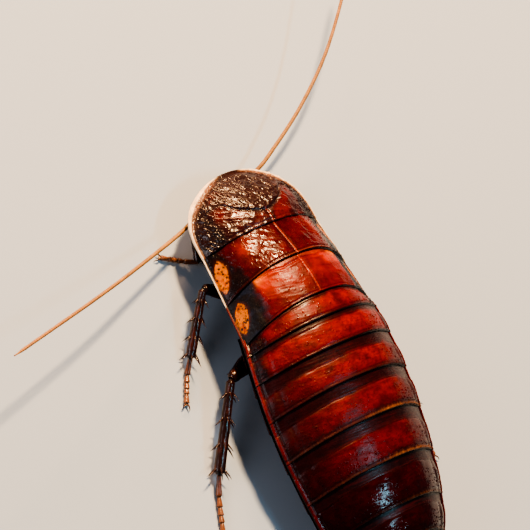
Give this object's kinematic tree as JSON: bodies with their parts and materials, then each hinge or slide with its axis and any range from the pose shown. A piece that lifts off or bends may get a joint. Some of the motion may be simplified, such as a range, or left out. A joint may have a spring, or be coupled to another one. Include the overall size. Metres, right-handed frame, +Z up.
{
  "type": "madagascar hissing cockroach",
  "caption": "Wingless hissing cockroach standing on its feet: a domed pronotum over the head, overlapping red-brown back plates, spiny legs and long thread-like antennae.",
  "frame": {"origin": "the middle of the part's footprint, at the level of the undersides of its feet", "axes": "+Z is up from the floor, the head points to -Y and the animal's left side is +X"},
  "size_m": [0.0888, 0.0928, 0.0144],
  "materials": {
    "mahogany_chitin": "satin",
    "dark_chitin": "satin",
    "leg_chitin": "satin",
    "belly_chitin": "satin",
    "amber_chitin": "matte",
    "eye_black": "gloss"
  },
  "bodies": {
    "root": {"antenna_left": "amber_chitin", "antenna_right": "amber_chitin", "cercus_left": "dark_chitin", "cercus_right": "dark_chitin", "coxa_fore_left": "leg_chitin", "coxa_fore_right": "leg_chitin", "coxa_hind_left": "leg_chitin", "coxa_hind_right": "leg_chitin", "coxa_mid_left": "leg_chitin", "coxa_mid_right": "leg_chitin", "eye_left": "eye_black", "eye_right": "eye_black", "femur_fore_left": "leg_chitin", "femur_fore_right": "leg_chitin", "femur_hind_left": "leg_chitin", "femur_hind_right": "leg_chitin", "femur_mid_left": "leg_chitin", "femur_mid_right": "leg_chitin", "head": "dark_chitin", "mesonotum": "mahogany_chitin", "mesosternum": "belly_chitin", "metanotum": "mahogany_chitin", "metasternum": "belly_chitin", "palp_left": "amber_chitin", "palp_right": "amber_chitin", "pronotum": "dark_chitin", "prosternum": "belly_chitin", "sternite_1": "belly_chitin", "sternite_2": "belly_chitin", "sternite_3": "belly_chitin", "sternite_4": "belly_chitin", "sternite_5": "belly_chitin", "sternite_6": "belly_chitin", "subgenital_plate": "belly_chitin", "supra_anal_plate": "mahogany_chitin", "tarsus_fore_left": "leg_chitin", "tarsus_fore_right": "leg_chitin", "tarsus_hind_left": "leg_chitin", "tarsus_hind_right": "leg_chitin", "tarsus_mid_left": "leg_chitin", "tarsus_mid_right": "leg_chitin", "tergite_1": "mahogany_chitin", "tergite_2": "mahogany_chitin", "tergite_3": "mahogany_chitin", "tergite_4": "mahogany_chitin", "tergite_5": "mahogany_chitin", "tergite_6": "mahogany_chitin", "tergite_7": "mahogany_chitin", "tergite_8": "mahogany_chitin", "tibia_fore_left": "leg_chitin", "tibia_fore_right": "leg_chitin", "tibia_hind_left": "leg_chitin", "tibia_hind_right": "leg_chitin", "tibia_mid_left": "leg_chitin", "tibia_mid_right": "leg_chitin"}
  },
  "joints": []
}
